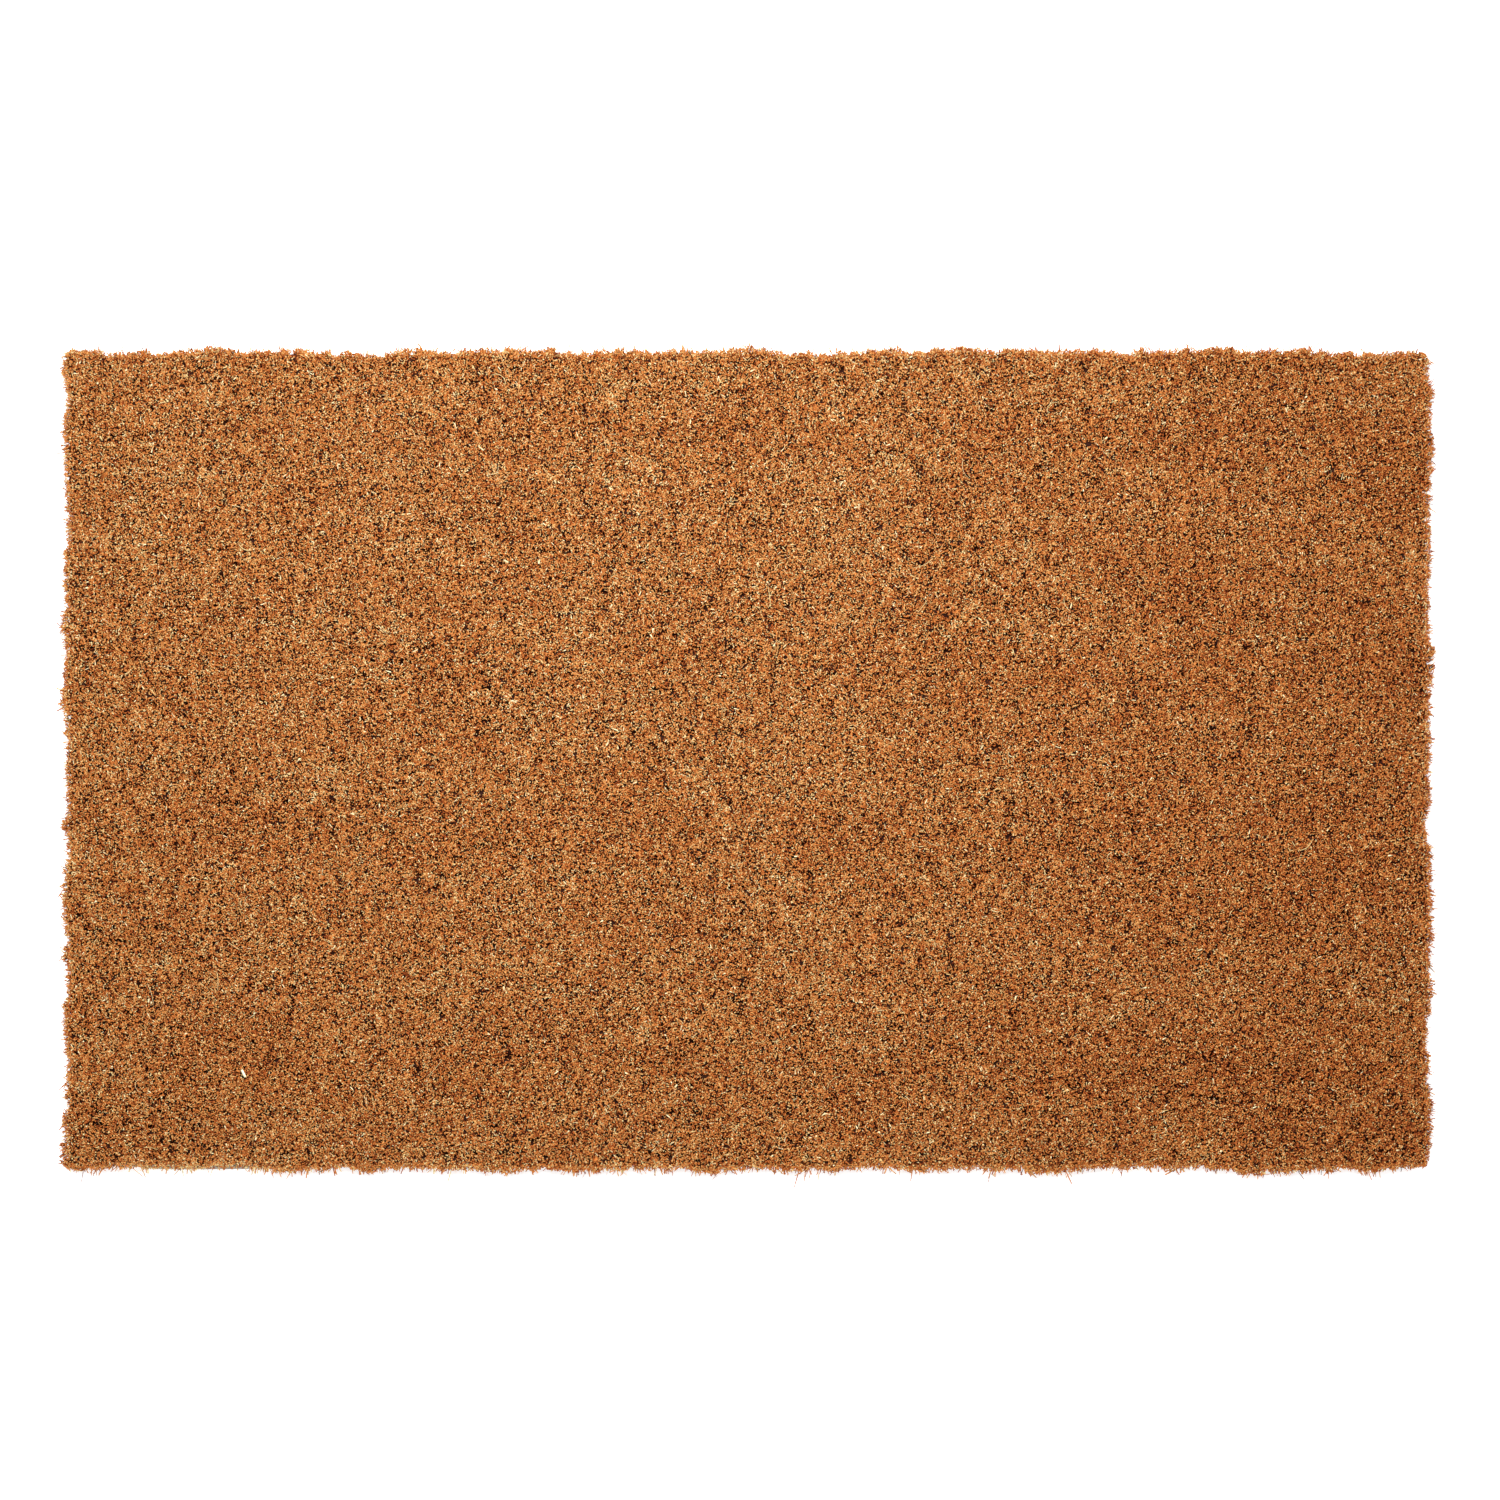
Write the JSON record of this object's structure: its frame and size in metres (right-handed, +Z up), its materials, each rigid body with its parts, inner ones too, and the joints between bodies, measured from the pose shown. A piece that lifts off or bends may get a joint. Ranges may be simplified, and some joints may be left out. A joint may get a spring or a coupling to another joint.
{
  "type": "door mat",
  "caption": "Rectangular coir door mat: lines of cut coconut-fibre tufts standing upright in a flat cast PVC backing, level sheared pile, plain cut edges.",
  "frame": {"origin": "centre of the flat underside, on the floor the mat lies on", "axes": "+Z up out of the pile, +X along the mat's length and its lines of tufts, +Y across its width"},
  "size_m": [0.75, 0.45, 0.015],
  "materials": {
    "coir_pile": "matte",
    "pvc_backing": "matte"
  },
  "bodies": {
    "root": {"pvc_backing": "pvc_backing", "tuft_row_01": "coir_pile", "tuft_row_02": "coir_pile", "tuft_row_03": "coir_pile", "tuft_row_04": "coir_pile", "tuft_row_05": "coir_pile", "tuft_row_06": "coir_pile", "tuft_row_07": "coir_pile", "tuft_row_08": "coir_pile", "tuft_row_09": "coir_pile", "tuft_row_10": "coir_pile", "tuft_row_11": "coir_pile", "tuft_row_12": "coir_pile", "tuft_row_13": "coir_pile", "tuft_row_14": "coir_pile", "tuft_row_15": "coir_pile", "tuft_row_16": "coir_pile", "tuft_row_17": "coir_pile", "tuft_row_18": "coir_pile", "tuft_row_19": "coir_pile", "tuft_row_20": "coir_pile", "tuft_row_21": "coir_pile", "tuft_row_22": "coir_pile", "tuft_row_23": "coir_pile", "tuft_row_24": "coir_pile", "tuft_row_25": "coir_pile", "tuft_row_26": "coir_pile", "tuft_row_27": "coir_pile", "tuft_row_28": "coir_pile", "tuft_row_29": "coir_pile", "tuft_row_30": "coir_pile", "tuft_row_31": "coir_pile", "tuft_row_32": "coir_pile", "tuft_row_33": "coir_pile", "tuft_row_34": "coir_pile", "tuft_row_35": "coir_pile", "tuft_row_36": "coir_pile", "tuft_row_37": "coir_pile", "tuft_row_38": "coir_pile", "tuft_row_39": "coir_pile", "tuft_row_40": "coir_pile", "tuft_row_41": "coir_pile", "tuft_row_42": "coir_pile", "tuft_row_43": "coir_pile", "tuft_row_44": "coir_pile", "tuft_row_45": "coir_pile", "tuft_row_46": "coir_pile", "tuft_row_47": "coir_pile", "tuft_row_48": "coir_pile", "tuft_row_49": "coir_pile", "tuft_row_50": "coir_pile", "tuft_row_51": "coir_pile", "tuft_row_52": "coir_pile", "tuft_row_53": "coir_pile", "tuft_row_54": "coir_pile", "tuft_row_55": "coir_pile", "tuft_row_56": "coir_pile", "tuft_row_57": "coir_pile", "tuft_row_58": "coir_pile"}
  },
  "joints": []
}
